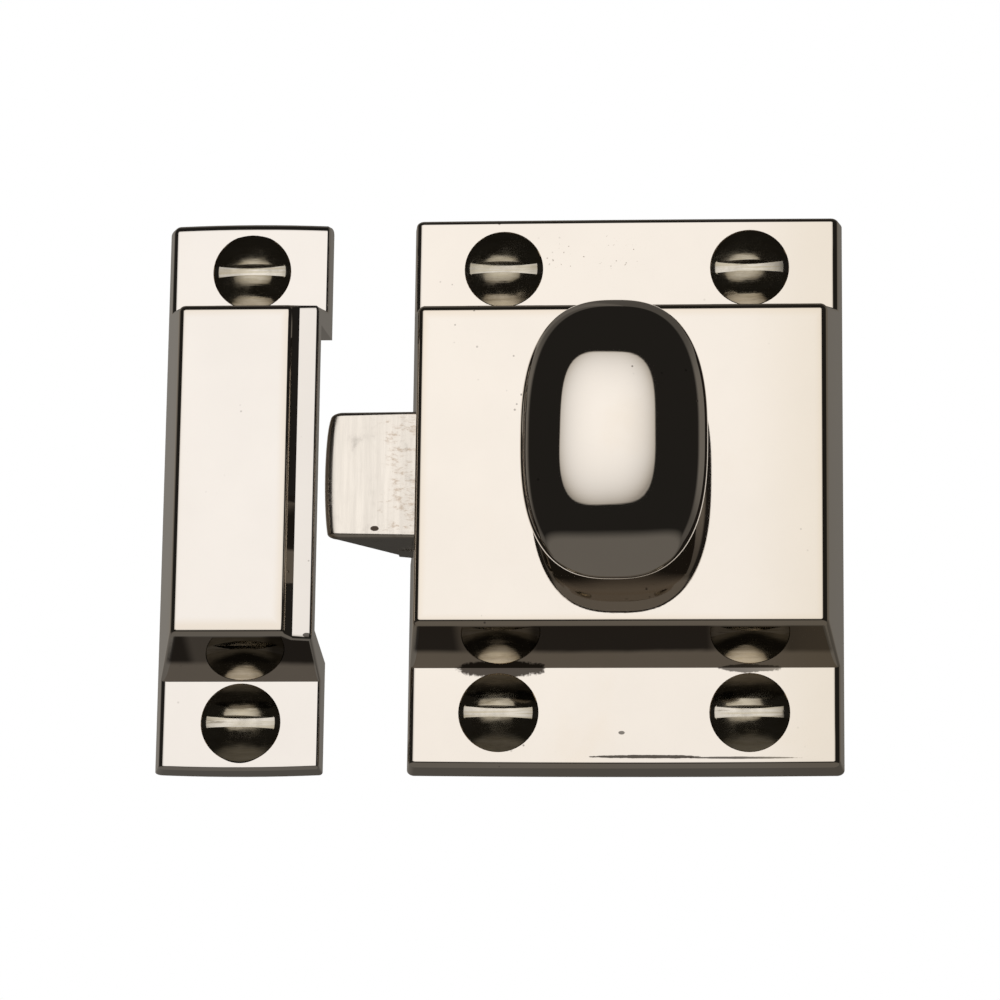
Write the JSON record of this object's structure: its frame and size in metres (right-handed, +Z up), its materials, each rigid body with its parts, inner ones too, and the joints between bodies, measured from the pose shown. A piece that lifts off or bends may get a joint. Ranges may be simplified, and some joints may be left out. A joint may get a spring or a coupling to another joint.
{
  "type": "cupboard catch latch",
  "caption": "Surface-mounted cupboard catch: cast case with an oval turn knob, a bevelled spring bolt and a separate keeper, with raised-head wood screws.",
  "frame": {"origin": "where the knob's axis meets the mounting plane, the middle of the four case screws", "axes": "+X to the right and +Z up seen from the front, +Y into the door; the front faces -Y and the bolt points along -X"},
  "size_m": [0.0686, 0.0414, 0.0572],
  "materials": {
    "polished_nickel": "polished nickel plate on cast brass",
    "bolt_nickel": "brushed nickel plate on brass",
    "screw_nickel": "nickel plated turned brass",
    "sheet_brass": "rolled brass sheet",
    "machine_steel": "turned and milled steel",
    "spring_steel": "drawn spring wire"
  },
  "bodies": {
    "case_body": {"case": "polished_nickel", "back_plate": "sheet_brass", "back_plate_screws": "machine_steel", "case_screws": "screw_nickel", "bolt_spring": "spring_steel", "keeper": "polished_nickel", "keeper_screws": "screw_nickel"},
    "knob_body": {"knob": "polished_nickel", "spindle": "machine_steel", "spindle_washer": "machine_steel", "cam": "machine_steel", "cam_screw": "machine_steel"},
    "bolt_body": {"bolt": "bolt_nickel"}
  },
  "joints": [
    {"name": "knob_turn", "type": "hinge", "parent": "case_body", "child": "knob_body", "pos_m": [0, 0, 0], "axis": [0, 1, 0], "range_deg": [0, 60]},
    {"name": "bolt_slide", "type": "slide", "parent": "case_body", "child": "bolt_body", "axis": [1, 0, 0], "range_m": [0, 0.00795], "stiffness_N_per_m": 350, "springref_m": -0.006, "deforming": ["bolt_spring"]}
  ],
  "couplings": [
    {"joint": "knob_turn", "follows": "bolt_slide", "rad_per_m": 131.58}
  ]
}
